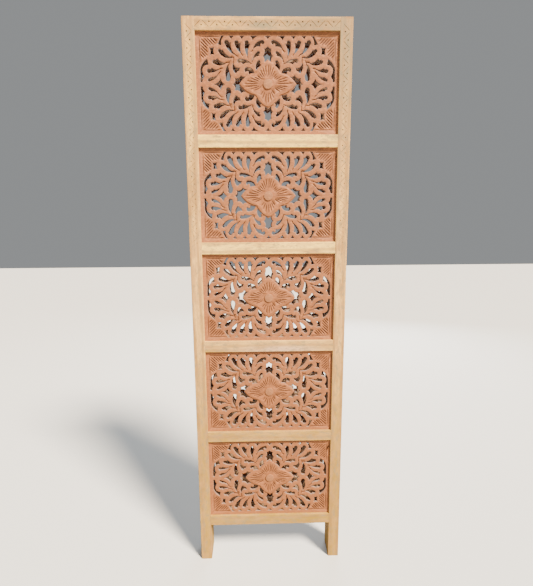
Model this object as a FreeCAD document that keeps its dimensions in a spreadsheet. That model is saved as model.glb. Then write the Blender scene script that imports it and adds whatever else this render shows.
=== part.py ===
import FreeCAD, Part
import os
import Sketcher

# A carved folding screen: three framed leaves, hinged in a zigzag and folded flat behind one another.
# Millimetres, +Z up, origin on the floor under the middle of the folded stack; the front leaf faces -Y.

# Driving dimensions
SIZES = {
    "leaf_width": 508,
    "leaf_height": 1829,
    "leaf_thickness": 25,
    "leaf_gap": 3,
    "stile_width": 38,
    "rail_height": 38,
    "leg_height": 140,
    "tenon_length": 24,
    "tenon_height": 20,
    "tenon_thickness": 9,
    "groove_depth": 7,
    "fit_clearance": 0.1,
    "peg_radius": 3,
    "peg_length": 18,
    "peg_inset": 12,
    "insert_thickness": 9,
    "insert_tongue": 6.5,
    "fret_half_width": 203.5,
    "fret_half_height": 134,
    "petal_rise": 2,
    "boss_radius": 14.5,
    "boss_rise": 5,
    "hinge_length": 63,
    "flap_width": 20,
    "flap_thickness": 1.6,
    "pin_radius": 2,
    "pin_clearance": 0.05,
    "knuckle_gap": 0.3,
    "screw_radius": 1.75,
    "screw_length": 16,
    "screw_head_radius": 3.2,
    "screw_head_height": 1.4,
    "screw_slot_width": 0.9,
    "screw_slot_depth": 0.7,
    "screw_clearance": 0.05,
    "screw_inset": 11,
    "screw_margin": 10,
    "overrun": 1,
}
INSERT_COUNT = 5
RAIL_COUNT = INSERT_COUNT + 1
HINGED_OPENINGS = (0, INSERT_COUNT // 2, INSERT_COUNT - 1)

# Outlines of the fretwork's windows in the upper right quarter, in shares of the fret's half width and half
# height. A point of three entries is the middle of an arc between its neighbours.
ARC = "arc"
LEAF_SHARES = (
    ((0.297, 0.590), (0.332, 0.709, ARC), (0.334, 0.850), (0.314, 0.907, ARC), (0.285, 0.843), (0.260, 0.836),
     (0.286, 0.746, ARC)),
    ((0.393, 0.645), (0.452, 0.735, ARC), (0.484, 0.836), (0.462, 0.907, ARC), (0.432, 0.847), (0.398, 0.854),
     (0.408, 0.761, ARC)),
    ((0.477, 0.612), (0.575, 0.709, ARC), (0.624, 0.828), (0.600, 0.914, ARC), (0.573, 0.858), (0.545, 0.866),
     (0.536, 0.731, ARC)),
    ((0.531, 0.552), (0.649, 0.571, ARC), (0.722, 0.675), (0.713, 0.733, ARC), (0.685, 0.705), (0.666, 0.716),
     (0.619, 0.627, ARC)),
    ((0.619, 0.440), (0.717, 0.396, ARC), (0.789, 0.429), (0.813, 0.489, ARC), (0.772, 0.500), (0.742, 0.537),
     (0.690, 0.469, ARC)),
    ((0.717, 0.316), (0.796, 0.257, ARC), (0.857, 0.246), (0.897, 0.297, ARC), (0.853, 0.309), (0.827, 0.345),
     (0.779, 0.307, ARC)),
    ((0.730, 0.222), (0.791, 0.114, ARC), (0.857, 0.068), (0.890, 0.093, ARC), (0.866, 0.119), (0.847, 0.151),
     (0.794, 0.153, ARC)),
    ((0.586, 0.410), (0.631, 0.231, ARC), (0.621, 0.142), (0.587, 0.068, ARC), (0.558, 0.116), (0.549, 0.168),
     (0.575, 0.276, ARC)),
    ((0.217, 0.731), (0.165, 0.862, ARC), (0.098, 0.910), (0.052, 0.869, ARC), (0.078, 0.830), (0.094, 0.851, ARC),
     (0.111, 0.834), (0.112, 0.787), (0.167, 0.784, ARC)),
    ((0.229, 0.489), (0.196, 0.614, ARC), (0.147, 0.683), (0.118, 0.672, ARC), (0.137, 0.632), (0.126, 0.598),
     (0.181, 0.573, ARC)),
    ((0.169, 0.302), (0.178, 0.396, ARC), (0.152, 0.478), (0.124, 0.498, ARC), (0.121, 0.440), (0.101, 0.402),
     (0.138, 0.356, ARC)),
    ((0.260, 0.448), (0.336, 0.513, ARC), (0.408, 0.528), (0.448, 0.487, ARC), (0.425, 0.449), (0.405, 0.462, ARC),
     (0.388, 0.455), (0.372, 0.425), (0.324, 0.448, ARC)),
    ((0.204, 0.231), (0.235, 0.321, ARC), (0.295, 0.351), (0.345, 0.310, ARC), (0.328, 0.257), (0.309, 0.278, ARC),
     (0.287, 0.272), (0.281, 0.213), (0.241, 0.231, ARC)),
    ((0.508, 0.446), (0.523, 0.358, ARC), (0.501, 0.272), (0.477, 0.239, ARC), (0.455, 0.272), (0.427, 0.283),
     (0.412, 0.347), (0.474, 0.356, ARC)),
)
CORNER_SHARES = (
    ((0.639, 1.000), (0.678, 1.000), (0.705, 0.918, ARC), (0.735, 0.833), (0.683, 0.815), (0.682, 0.903, ARC)),
    ((0.791, 0.769), (0.823, 0.751, ARC), (0.857, 0.761), (0.842, 0.687, ARC), (0.851, 0.608), (0.822, 0.627, ARC),
     (0.791, 0.619), (0.801, 0.694, ARC)),
    ((0.894, 0.526), (0.965, 0.427, ARC), (0.998, 0.313), (1.000, 0.067), (0.985, 0.047, ARC), (0.971, 0.067),
     (0.968, 0.108), (0.941, 0.168), (0.963, 0.228, ARC), (0.970, 0.284), (0.950, 0.369, ARC), (0.880, 0.407)),
    ((0.152, 1.000), (0.256, 0.998), (0.233, 0.963, ARC), (0.221, 0.914), (0.194, 0.965, ARC)),
    ((0.344, 0.998), (0.408, 0.996), (0.392, 0.970, ARC), (0.381, 0.933), (0.366, 0.970, ARC)),
    ((0.501, 0.998), (0.565, 0.998), (0.547, 0.970, ARC), (0.536, 0.937), (0.522, 0.970, ARC)),
)
# Halves of the windows that cross an axis: from one end on the axis to the other, then mirrored
ON_UPRIGHT_AXIS_SHARES = (
    ((0.000, 0.787), (0.024, 0.752, ARC), (0.051, 0.736), (0.045, 0.672, ARC), (0.072, 0.590), (0.051, 0.541, ARC),
     (0.048, 0.470), (0.020, 0.503, ARC), (0.000, 0.526)),
    ((0.000, 0.996), (0.040, 0.996), (0.014, 0.970, ARC), (0.000, 0.937)),
)
ON_LEVEL_AXIS_SHARES = (
    ((0.430, 0.000), (0.390, 0.082, ARC), (0.334, 0.157), (0.373, 0.159, ARC), (0.400, 0.190), (0.433, 0.134, ARC),
     (0.493, 0.127), (0.487, 0.060, ARC), (0.521, 0.000)),
    ((0.644, 0.000), (0.685, 0.050, ARC), (0.703, 0.119), (0.740, 0.043, ARC), (0.806, 0.000)),
)
# A quarter of the flower's outline, from its side tip over the notch between two petals to its upper tip
PETAL_SHARES = ((0.418, 0.000), (0.312, 0.149, ARC), (0.177, 0.228), (0.107, 0.386, ARC), (0.000, 0.485))

doc = FreeCAD.newDocument("folding_screen")
sheet = doc.addObject("Spreadsheet::Sheet", "sizes")
for row, (alias, value) in enumerate(SIZES.items(), start=1):
    sheet.set(f"A{row}", alias)
    sheet.set(f"B{row}", str(value))
    sheet.setAlias(f"B{row}", alias)
doc.recompute()


def cell(alias):
    """The expression that reads one driving dimension."""
    return f"sizes.{alias}"


def number(expression):
    """What an expression of driving dimensions comes to."""
    value = sheet.evalExpression(str(expression))
    return float(getattr(value, "Value", value))


# Sizes worked out from the driving dimensions
OPENING_WIDTH = "(sizes.leaf_width - 2 * sizes.stile_width)"
OPENING_HEIGHT = (
    f"((sizes.leaf_height - sizes.leg_height - {RAIL_COUNT} * sizes.rail_height) / {INSERT_COUNT})"
)
BAY_PITCH = f"({OPENING_HEIGHT} + sizes.rail_height)"
GROOVE_WIDTH = "(sizes.insert_thickness + 2 * sizes.fit_clearance)"
INSERT_WIDTH = f"({OPENING_WIDTH} + 2 * sizes.insert_tongue)"
INSERT_HEIGHT = f"({OPENING_HEIGHT} + 2 * sizes.insert_tongue)"
STACK_PITCH = "(sizes.leaf_thickness + sizes.leaf_gap)"
STACK_DEPTH = "(3 * sizes.leaf_thickness + 2 * sizes.leaf_gap)"
KNUCKLE_RADIUS = "(sizes.pin_radius + sizes.flap_thickness)"
HINGE_AXIS_X = "(sizes.leaf_width / 2 + sizes.pin_radius)"
MIDDLE_OF_THICKNESS = "(sizes.leaf_thickness / 2)"


def rail_bottom(rail):
    """Height of a rail's lower edge; rail 0 is the bottom rail."""
    return f"(sizes.leg_height + {rail} * {BAY_PITCH})"


def opening_bottom(bay):
    """Height of an opening's lower edge; bay 0 is the lowest."""
    return f"({rail_bottom(bay)} + sizes.rail_height)"


def hinge_bottom(bay):
    """Height of the lower end of the hinge beside an opening."""
    return f"({opening_bottom(bay)} + ({OPENING_HEIGHT} - sizes.hinge_length) / 2)"


# Sketching helpers
def bind(sketch, constraint, expression):
    """Adds a dimension to a sketch and ties it to the sheet."""
    index = sketch.addConstraint(Sketcher.Constraint(*constraint, number(expression)))
    sketch.setExpression(f"Constraints[{index}]", str(expression))


def pin_point(sketch, geometry, point, x, y):
    """Places a point of a sketch by two expressions, each measured from the origin."""
    if x == "0":
        sketch.addConstraint(Sketcher.Constraint("PointOnObject", geometry, point, -2))
    else:
        bind(sketch, ("DistanceX", -1, 1, geometry, point), x)
    if y == "0":
        sketch.addConstraint(Sketcher.Constraint("PointOnObject", geometry, point, -1))
    else:
        bind(sketch, ("DistanceY", -1, 1, geometry, point), y)


def rectangle(sketch, left, low, width, height):
    """Draws a rectangle from its lower left corner and its two sides."""
    x, y, w, h = (number(v) for v in (left, low, width, height))
    corners = [FreeCAD.Vector(*p) for p in ((x, y), (x + w, y), (x + w, y + h), (x, y + h))]
    first = sketch.GeometryCount
    for i in range(4):
        sketch.addGeometry(Part.LineSegment(corners[i], corners[(i + 1) % 4]), False)
    for i in range(4):
        sketch.addConstraint(Sketcher.Constraint("Coincident", first + i, 2, first + (i + 1) % 4, 1))
        level = "Vertical" if i % 2 else "Horizontal"
        sketch.addConstraint(Sketcher.Constraint(level, first + i))
    pin_point(sketch, first, 1, left, low)
    bind(sketch, ("DistanceX", first, 1, first, 2), width)
    bind(sketch, ("DistanceY", first + 1, 1, first + 1, 2), height)


def circle(sketch, x, y, radius):
    """Draws a circle from its centre and radius."""
    centre = FreeCAD.Vector(number(x), number(y))
    index = sketch.addGeometry(Part.Circle(centre, FreeCAD.Vector(0, 0, 1), number(radius)), False)
    pin_point(sketch, index, 3, x, y)
    bind(sketch, ("Radius", index), radius)


def sketch_on(body, role, offset="0"):
    """A new sketch on one of the body's origin planes, moved along the plane's normal."""
    sketch = body.newObject("Sketcher::SketchObject", "Sketch")
    plane = next(f for f in body.Origin.OriginFeatures if f.Role == role)
    sketch.AttachmentSupport = (plane, "")
    sketch.MapMode = "FlatFace"
    if offset != "0":
        sketch.setExpression("AttachmentOffset.Base.z", offset)
    return sketch


def feature(body, kind, sketch, length, reverse=False):
    """Pads or pockets a sketch by a length, along its default direction or against it."""
    made = body.newObject(f"PartDesign::{kind}", kind)
    made.Profile = sketch
    made.Reversed = reverse
    made.setExpression("Length", length)
    body.Tip = made
    return made


def new_body(label):
    """An empty body under the piece's name."""
    body = doc.addObject("PartDesign::Body", label)
    body.Label = label
    return body


def clone(source, label):
    """Another piece of the same shape."""
    body = new_body(label)
    copy = body.newObject("PartDesign::FeatureBase", "Clone")
    copy.BaseFeature = source
    body.Tip = copy
    return body


# Pieces of a leaf. Each lies in its own frame, with its long edges along the axes and its corner at the origin.
def make_stile(label, hinge_side, pegs_from_high):
    """An upright with its groove and mortises on the inner edge, and hinge gains on the outer one.

    The outer face is x = 0. hinge_side is None, "low" or "high": the face, in y, that the hinges turn on.
    """
    body = new_body(label)
    section = sketch_on(body, "XY_Plane")
    rectangle(section, "0", "0", cell("stile_width"), cell("leaf_thickness"))
    feature(body, "Pad", section, cell("leaf_height"))

    groove = sketch_on(body, "YZ_Plane", cell("stile_width"))
    low = f"({opening_bottom(0)} - sizes.groove_depth)"
    run = f"({INSERT_COUNT} * {BAY_PITCH} - sizes.rail_height + 2 * sizes.groove_depth)"
    rectangle(groove, f"{MIDDLE_OF_THICKNESS} - {GROOVE_WIDTH} / 2", low, GROOVE_WIDTH, run)
    feature(body, "Pocket", groove, cell("groove_depth"))

    mortises = sketch_on(body, "YZ_Plane", cell("stile_width"))
    width = "(sizes.tenon_thickness + 2 * sizes.fit_clearance)"
    height = "(sizes.tenon_height + 2 * sizes.fit_clearance)"
    for rail in range(RAIL_COUNT):
        middle = f"({rail_bottom(rail)} + sizes.rail_height / 2)"
        rectangle(mortises, f"{MIDDLE_OF_THICKNESS} - {width} / 2", f"{middle} - {height} / 2", width, height)
    feature(body, "Pocket", mortises, "sizes.tenon_length + sizes.fit_clearance")

    peg_holes = sketch_on(body, "XZ_Plane", f"-{cell('leaf_thickness')}" if pegs_from_high else "0")
    for rail in range(RAIL_COUNT):
        middle = f"({rail_bottom(rail)} + sizes.rail_height / 2)"
        circle(peg_holes, "sizes.stile_width - sizes.peg_inset", middle, cell("peg_radius"))
    feature(body, "Pocket", peg_holes, cell("peg_length"), reverse=pegs_from_high)

    if hinge_side:
        reach = "(sizes.flap_width - sizes.leaf_gap / 2 + sizes.fit_clearance)"
        gains = sketch_on(body, "YZ_Plane")
        edge = f"sizes.leaf_thickness - {reach}" if hinge_side == "high" else "-sizes.overrun"
        for bay in HINGED_OPENINGS:
            rectangle(gains, edge, f"{hinge_bottom(bay)} - sizes.fit_clearance", f"{reach} + sizes.overrun",
                      "sizes.hinge_length + 2 * sizes.fit_clearance")
        feature(body, "Pocket", gains, cell("flap_thickness"), reverse=True)

        pilots = sketch_on(body, "YZ_Plane")
        inset = "(sizes.screw_inset - sizes.leaf_gap / 2)"
        row = f"sizes.leaf_thickness - {inset}" if hinge_side == "high" else inset
        for bay in HINGED_OPENINGS:
            for level in screw_levels():
                circle(pilots, row, f"{hinge_bottom(bay)} + {level}", "sizes.screw_radius + sizes.screw_clearance")
        feature(body, "Pocket", pilots, "sizes.screw_length + sizes.screw_clearance", reverse=True)
    return body


def make_rail(label, grooved_below, grooved_above):
    """A rail with a tenon at each end and a groove in each edge that holds an insert."""
    body = new_body(label)
    section = sketch_on(body, "YZ_Plane")
    rectangle(section, "0", "0", cell("leaf_thickness"), cell("rail_height"))
    feature(body, "Pad", section, OPENING_WIDTH)

    tenon = sketch_on(body, "YZ_Plane", f"-{cell('tenon_length')}")
    rectangle(tenon, f"{MIDDLE_OF_THICKNESS} - sizes.tenon_thickness / 2",
              "(sizes.rail_height - sizes.tenon_height) / 2", cell("tenon_thickness"), cell("tenon_height"))
    feature(body, "Pad", tenon, f"{OPENING_WIDTH} + 2 * sizes.tenon_length")

    grooves = sketch_on(body, "YZ_Plane")
    side = f"{MIDDLE_OF_THICKNESS} - {GROOVE_WIDTH} / 2"
    if grooved_below:
        rectangle(grooves, side, "-sizes.overrun", GROOVE_WIDTH, "sizes.groove_depth + sizes.overrun")
    if grooved_above:
        rectangle(grooves, side, "sizes.rail_height - sizes.groove_depth", GROOVE_WIDTH,
                  "sizes.groove_depth + sizes.overrun")
    feature(body, "Pocket", grooves, OPENING_WIDTH, reverse=True)

    peg_holes = sketch_on(body, "XZ_Plane")
    for x in ("-sizes.peg_inset", f"{OPENING_WIDTH} + sizes.peg_inset"):
        circle(peg_holes, x, "sizes.rail_height / 2", cell("peg_radius"))
    feature(body, "Pocket", peg_holes, cell("leaf_thickness"))
    return body


# The fretwork's outlines
def outline_edges(points):
    """Lines and arcs through a closed list of points, where a marked point is the middle of an arc."""
    corners = [i for i, p in enumerate(points) if len(p) == 2]
    edges = []
    for start, end in zip(corners, corners[1:] + corners[:1]):
        a, b = (FreeCAD.Vector(*points[i][:2]) for i in (start, end))
        if (start + 1) % len(points) == end:
            edges.append(Part.LineSegment(a, b))
        else:
            edges.append(Part.Arc(a, FreeCAD.Vector(*points[(start + 1) % len(points)][:2]), b))
    return edges


def mirrored(half, axis):
    """A whole outline from the half that runs from one end on the axis to the other; axis 0 is upright."""
    def flip(p):
        return (-p[0], *p[1:]) if axis == 0 else (p[0], -p[1], *p[2:])
    return list(half) + [flip(p) for p in reversed(half[1:-1])]


def fret_windows():
    """Every window of the fretwork, in shares of its half sizes from its centre."""
    windows = []
    for across in (1, -1):
        for up in (1, -1):
            for outline in LEAF_SHARES + CORNER_SHARES:
                windows.append([(across * p[0], up * p[1], *p[2:]) for p in outline])
        for half in ON_UPRIGHT_AXIS_SHARES:
            windows.append([(p[0], across * p[1], *p[2:]) for p in mirrored(half, 0)])
        for half in ON_LEVEL_AXIS_SHARES:
            windows.append([(across * p[0], p[1], *p[2:]) for p in mirrored(half, 1)])
    return windows


def at_size(shares):
    """An outline in shares, as millimetres in an insert's own frame."""
    half_width, half_height = number(cell("fret_half_width")), number(cell("fret_half_height"))
    x, y = number(INSERT_WIDTH) / 2, number(INSERT_HEIGHT) / 2
    return [(x + half_width * p[0], y + half_height * p[1], *p[2:]) for p in shares]


def make_insert(label):
    """A pierced board with a raised flower and a round boss on its carved face, y = 0."""
    body = new_body(label)
    board = sketch_on(body, "XZ_Plane")
    rectangle(board, "0", "0", INSERT_WIDTH, INSERT_HEIGHT)
    feature(body, "Pad", board, cell("insert_thickness"), reverse=True)

    fret = sketch_on(body, "XZ_Plane")
    for window in fret_windows():
        fret.addGeometry(outline_edges(at_size(window)), False)
    feature(body, "Pocket", fret, "sizes.insert_thickness + sizes.overrun")

    flower = sketch_on(body, "XZ_Plane")
    quarter = list(PETAL_SHARES)
    half = quarter + [(-p[0], *p[1:]) for p in reversed(quarter[:-1])]
    flower.addGeometry(outline_edges(at_size(mirrored(half, 1))), False)
    feature(body, "Pad", flower, cell("petal_rise"))

    boss = sketch_on(body, "XZ_Plane")
    circle(boss, f"{INSERT_WIDTH} / 2", f"{INSERT_HEIGHT} / 2", cell("boss_radius"))
    feature(body, "Pad", boss, cell("boss_rise"))
    return body


# Pieces of a hinge. The pin's axis is the z axis, the hinge stands on z = 0, and a flap's plate lies on the -x side.
def primitive(kind, label, sizes, place):
    """A Part primitive with its sizes and its place tied to the sheet."""
    made = doc.addObject(f"Part::{kind}", label)
    for name, expression in sizes.items():
        made.setExpression(name, str(expression))
    for name, expression in zip("xyz", place):
        made.setExpression(f"Placement.Base.{name}", str(expression))
    return made


def fused(label, shapes):
    """Several shapes as one."""
    made = doc.addObject("Part::MultiFuse", label)
    made.Shapes = shapes
    return made


def cut(label, base, tools):
    """A shape less some others."""
    made = doc.addObject("Part::Cut", label)
    made.Base = base
    made.Tool = fused(f"{label}_tools", tools) if len(tools) > 1 else tools[0]
    return made


def screw_levels():
    """Heights of a flap's screws above the hinge's lower end."""
    return ("sizes.screw_margin", "sizes.hinge_length / 2", "(sizes.hinge_length - sizes.screw_margin)")


def make_flap(label, knuckles, towards):
    """A hinge flap with its knuckles at some thirds of the hinge; towards is "-" or "+", its plate's side in y."""
    left = f"-{KNUCKLE_RADIUS}"
    web = f"({KNUCKLE_RADIUS} + sizes.pin_clearance)"
    plate_depth = f"(sizes.flap_width - {web})"
    near = f"-{web} - {plate_depth}" if towards == "-" else web
    solids = [primitive("Box", f"{label}_plate",
                        {"Length": cell("flap_thickness"), "Width": plate_depth, "Height": cell("hinge_length")},
                        (left, near, "0"))]
    third = "(sizes.hinge_length / 3)"
    for k in knuckles:
        low = f"({k} * {third} + {0 if k == 0 else 1} * sizes.knuckle_gap / 2)"
        trims = 1 if k in (0, 2) else 2
        height = f"({third} - {trims} * sizes.knuckle_gap / 2)"
        solids.append(primitive("Box", f"{label}_tongue", {"Length": cell("flap_thickness"), "Width": web,
                                                           "Height": height},
                                (left, f"-{web}" if towards == "-" else "0", low)))
        solids.append(primitive("Cylinder", f"{label}_knuckle", {"Radius": KNUCKLE_RADIUS, "Height": height},
                                ("0", "0", low)))
    bore = primitive("Cylinder", f"{label}_bore",
                     {"Radius": "sizes.pin_radius + sizes.pin_clearance",
                      "Height": "sizes.hinge_length + 2 * sizes.overrun"}, ("0", "0", "-sizes.overrun"))
    tools = [bore]
    for level in screw_levels():
        for kind, sizes in (
            ("Cylinder", {"Radius": "sizes.screw_radius + sizes.screw_clearance",
                          "Height": "sizes.flap_thickness + 2 * sizes.overrun"}),
            ("Cone", {"Radius1": "sizes.screw_radius + sizes.screw_clearance",
                      "Radius2": "sizes.screw_head_radius + sizes.screw_clearance",
                      "Height": cell("screw_head_height")}),
        ):
            foot = f"{left} - sizes.overrun" if kind == "Cylinder" else "-sizes.pin_radius - sizes.screw_head_height"
            tool = primitive(kind, f"{label}_{kind.lower()}", sizes, (foot, f"{towards}sizes.screw_inset", level))
            tool.Placement.Rotation = FreeCAD.Rotation(FreeCAD.Vector(0, 1, 0), 90)
            tools.append(tool)
    return cut(label, fused(f"{label}_solids", solids), tools)


def make_screw():
    """A slotted countersunk screw along z, its head's flat face at z = 0."""
    shank = primitive("Cylinder", "screw_shank",
                      {"Radius": cell("screw_radius"), "Height": "sizes.screw_length - sizes.screw_head_height"},
                      ("0", "0", "-sizes.screw_length"))
    head = primitive("Cone", "screw_head",
                     {"Radius1": cell("screw_radius"), "Radius2": cell("screw_head_radius"),
                      "Height": cell("screw_head_height")}, ("0", "0", "-sizes.screw_head_height"))
    slot = primitive("Box", "screw_slot",
                     {"Length": "2 * sizes.screw_head_radius", "Width": cell("screw_slot_width"),
                      "Height": "sizes.screw_slot_depth + sizes.overrun"},
                     ("-sizes.screw_head_radius", "-sizes.screw_slot_width / 2", "-sizes.screw_slot_depth"))
    return cut("screw", fused("screw_solids", [shank, head]), [slot])


def copies(label, source, places, turn=FreeCAD.Rotation()):
    """A group of equal solids, each a link to one source, under one name."""
    links = []
    for place in places:
        link = doc.addObject("App::Link", f"{label}_copy")
        link.LinkedObject = source
        link.Placement = FreeCAD.Placement(FreeCAD.Vector(), turn)
        for name, expression in zip("xyz", place):
            link.setExpression(f"Placement.Base.{name}", str(expression))
        links.append(link)
    group = doc.addObject("Part::Compound", label)
    group.Label = label
    group.Links = links
    return group


def put(piece, flipped, x, y, z, turned=False):
    """Sets a piece in its leaf: x from the leaf's middle, y from its carved face. A flipped leaf faces +Y."""
    turn = (180 if flipped else 0) + (180 if turned else 0)
    piece.Placement = FreeCAD.Placement(FreeCAD.Vector(), FreeCAD.Rotation(FreeCAD.Vector(0, 0, 1), turn))
    leaf = LEAVES.index(next(n for n in LEAVES if piece.Label.startswith(n)))
    face = f"({leaf} * {STACK_PITCH} - {STACK_DEPTH} / 2 + {1 if flipped else 0} * sizes.leaf_thickness)"
    sign = "-" if flipped else "+"
    for name, expression in (("x", f"0 {sign} ({x})"), ("y", f"{face} {sign} ({y})"), ("z", z)):
        piece.setExpression(f"Placement.Base.{name}", expression)
    return piece


# Assembly: the front leaf, the middle leaf turned to face back, and the rear leaf
LEAVES = ("front", "middle", "rear")
pieces = []
masters = {}
peg = primitive("Cylinder", "peg", {"Radius": cell("peg_radius"), "Height": cell("peg_length")}, ("0", "0", "0"))


def same_as_first(kind, label, make):
    """The first piece of a kind is made, and the others are clones of it."""
    if kind in masters:
        return clone(masters[kind], label)
    masters[kind] = make(label)
    return masters[kind]


def build_leaf(name, flipped, hinge_faces):
    """One framed leaf. hinge_faces gives the leaf's face, or None, that its own left and right stile hinge on."""
    half = "sizes.leaf_width / 2"
    sides = ("right", "left") if flipped else ("left", "right")
    for turned, side, face in zip((False, True), sides, hinge_faces):
        # A turned stile has its carved face at the high end of its own y axis.
        high = {None: None, "back": "low" if turned else "high", "front": "high" if turned else "low"}[face]
        stile = make_stile(f"{name}_{side}_stile", high, pegs_from_high=not turned)
        x, y = (half, cell("leaf_thickness")) if turned else (f"-{half}", "0")
        pieces.append(put(stile, flipped, x, y, "0", turned))

    rail_x = f"sizes.stile_width - {half}"
    for rail in range(RAIL_COUNT):
        last = RAIL_COUNT - 1
        kind = {0: "bottom_rail", last: "top_rail"}.get(rail, "middle_rail")
        number_of_rail = "" if rail in (0, last) else f"_{last - rail}"
        made = same_as_first(kind, f"{name}_{kind}{number_of_rail}",
                             lambda label, r=rail: make_rail(label, r > 0, r < last))
        pieces.append(put(made, flipped, rail_x, "0", rail_bottom(rail)))

    insert_y = f"{MIDDLE_OF_THICKNESS} - sizes.insert_thickness / 2"
    for bay in range(INSERT_COUNT):
        made = same_as_first("insert", f"{name}_carved_insert_{INSERT_COUNT - bay}", make_insert)
        pieces.append(put(made, flipped, f"{rail_x} - sizes.insert_tongue", insert_y,
                          f"{opening_bottom(bay)} - sizes.insert_tongue"))

    places = []
    for rail in range(RAIL_COUNT):
        for end in ("-", "+"):
            x = f"{end}({half} - sizes.stile_width + sizes.peg_inset)"
            places.append((x, "sizes.leaf_thickness - sizes.peg_length",
                           f"{rail_bottom(rail)} + sizes.rail_height / 2"))
    # A peg's own axis is z; it is laid along y, its end flush with the leaf's back.
    laid = copies(f"{name}_tenon_pegs", peg, places, FreeCAD.Rotation(FreeCAD.Vector(1, 0, 0), -90))
    pieces.append(put(laid, flipped, "0", "0", "0"))


def build_hinges(name, outer_leaf, gap, right):
    """A row of hinges in the gap behind a leaf. The middle leaf carries the single knuckles and screws of its own."""
    sign, turn = ("", 0) if right else ("-", 180)
    axis = (f"{sign}{HINGE_AXIS_X}",
            f"({gap + 1} * sizes.leaf_thickness + ({gap} + 1 / 2) * sizes.leaf_gap - {STACK_DEPTH} / 2)")
    levels = [hinge_bottom(bay) for bay in HINGED_OPENINGS]
    about_z = FreeCAD.Rotation(FreeCAD.Vector(0, 0, 1), turn)
    outward = FreeCAD.Rotation(FreeCAD.Vector(0, 1, 0), 90 if right else -90)
    face = f"{sign}(sizes.leaf_width / 2)"
    pieces.append(copies(f"{name}_hinge_pins", hinge_pin, [(*axis, z) for z in levels]))
    for leaf, flap, side in ((outer_leaf, outer_flap, "-"), ("middle", inner_flap, "+")):
        pieces.append(copies(f"{name}_hinge_flaps_{leaf}", flap, [(*axis, z) for z in levels], about_z))
        away = side if right else {"-": "+", "+": "-"}[side]
        places = [(face, f"{axis[1]} {away} sizes.screw_inset", f"{z} + {level}")
                  for z in levels for level in screw_levels()]
        pieces.append(copies(f"{name}_hinge_screws_{leaf}", screw, places, outward))


build_leaf("front", flipped=False, hinge_faces=(None, "back"))
build_leaf("middle", flipped=True, hinge_faces=("back", "front"))
build_leaf("rear", flipped=False, hinge_faces=("front", None))

hinge_pin = primitive("Cylinder", "hinge_pin", {"Radius": cell("pin_radius"), "Height": cell("hinge_length")},
                      ("0", "0", "0"))
outer_flap = make_flap("outer_flap", (0, 2), "-")
inner_flap = make_flap("inner_flap", (1,), "+")
screw = make_screw()
build_hinges("right", "front", gap=0, right=True)
build_hinges("left", "rear", gap=1, right=False)
doc.recompute()

# Checks, then one file for each piece
for item in doc.Objects:
    if {"Invalid", "Error"} & set(item.State):
        raise RuntimeError(f"{item.Label} failed: {item.State}")
for piece in pieces:
    if piece.Shape.isNull() or not piece.Shape.isValid() or not piece.Shape.Solids:
        raise RuntimeError(f"{piece.Label} has no valid solid")
os.makedirs("parts", exist_ok=True)
for piece in pieces:
    piece.Shape.exportStep(os.path.join("parts", f"{piece.Label}.step"))
    print(piece.Label, len(piece.Shape.Solids), round(piece.Shape.Volume))
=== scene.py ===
import math

import bmesh
import bpy
from mathutils import Matrix, Vector
from mathutils.geometry import delaunay_2d_cdt
from mathutils.kdtree import KDTree


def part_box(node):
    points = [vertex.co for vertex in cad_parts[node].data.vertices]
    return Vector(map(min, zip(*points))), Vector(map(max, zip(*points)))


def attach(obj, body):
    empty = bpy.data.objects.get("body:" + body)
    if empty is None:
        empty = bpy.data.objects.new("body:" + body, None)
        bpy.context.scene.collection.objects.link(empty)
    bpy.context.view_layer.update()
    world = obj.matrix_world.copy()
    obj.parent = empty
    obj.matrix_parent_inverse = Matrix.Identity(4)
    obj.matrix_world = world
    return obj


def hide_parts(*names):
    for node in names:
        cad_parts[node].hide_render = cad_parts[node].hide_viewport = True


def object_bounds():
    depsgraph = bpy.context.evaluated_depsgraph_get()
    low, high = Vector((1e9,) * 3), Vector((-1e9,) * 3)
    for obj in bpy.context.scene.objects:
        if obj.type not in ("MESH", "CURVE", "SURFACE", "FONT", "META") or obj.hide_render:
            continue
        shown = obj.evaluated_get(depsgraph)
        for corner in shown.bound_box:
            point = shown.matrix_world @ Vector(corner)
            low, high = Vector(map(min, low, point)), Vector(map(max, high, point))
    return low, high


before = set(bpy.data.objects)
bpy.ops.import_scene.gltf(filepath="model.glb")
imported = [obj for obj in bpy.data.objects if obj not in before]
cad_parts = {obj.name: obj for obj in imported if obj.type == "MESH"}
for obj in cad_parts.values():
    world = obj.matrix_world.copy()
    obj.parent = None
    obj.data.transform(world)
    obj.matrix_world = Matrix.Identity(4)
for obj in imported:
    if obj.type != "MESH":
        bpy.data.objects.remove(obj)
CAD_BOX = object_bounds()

bl_info = {
    "name": "Carved folding screen",
    "version": (1, 0, 0),
    "blender": (4, 5, 0),
    "location": "View3D > Sidebar > Screen",
    "description": "Dresses a folding screen's leaves, hinges and stage",
    "category": "Object",
}

MM = 0.001
LEAVES = ("front", "middle", "rear")
# The middle leaf is folded with its carved face towards +Y, the others towards -Y.
CARVED_SIDE = {"front": -1, "middle": 1, "rear": -1}
RAILS = ("top_rail", "middle_rail_1", "middle_rail_2", "middle_rail_3", "middle_rail_4", "bottom_rail")
INSERTS = tuple(f"carved_insert_{number}" for number in range(1, 6))
# Axes that the rails and the stiles run along
ALONG_X = 0
ALONG_Z = 2
# Two points closer than this are at one level.
TOUCH = 0.01 * MM

# Towards the key light, as the shadows of the rails and stiles on the boards show, and how wide the light is
KEY_FROM = (0.9, -1.0, 1.5)
KEY_WIDTH = math.radians(14)
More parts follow.
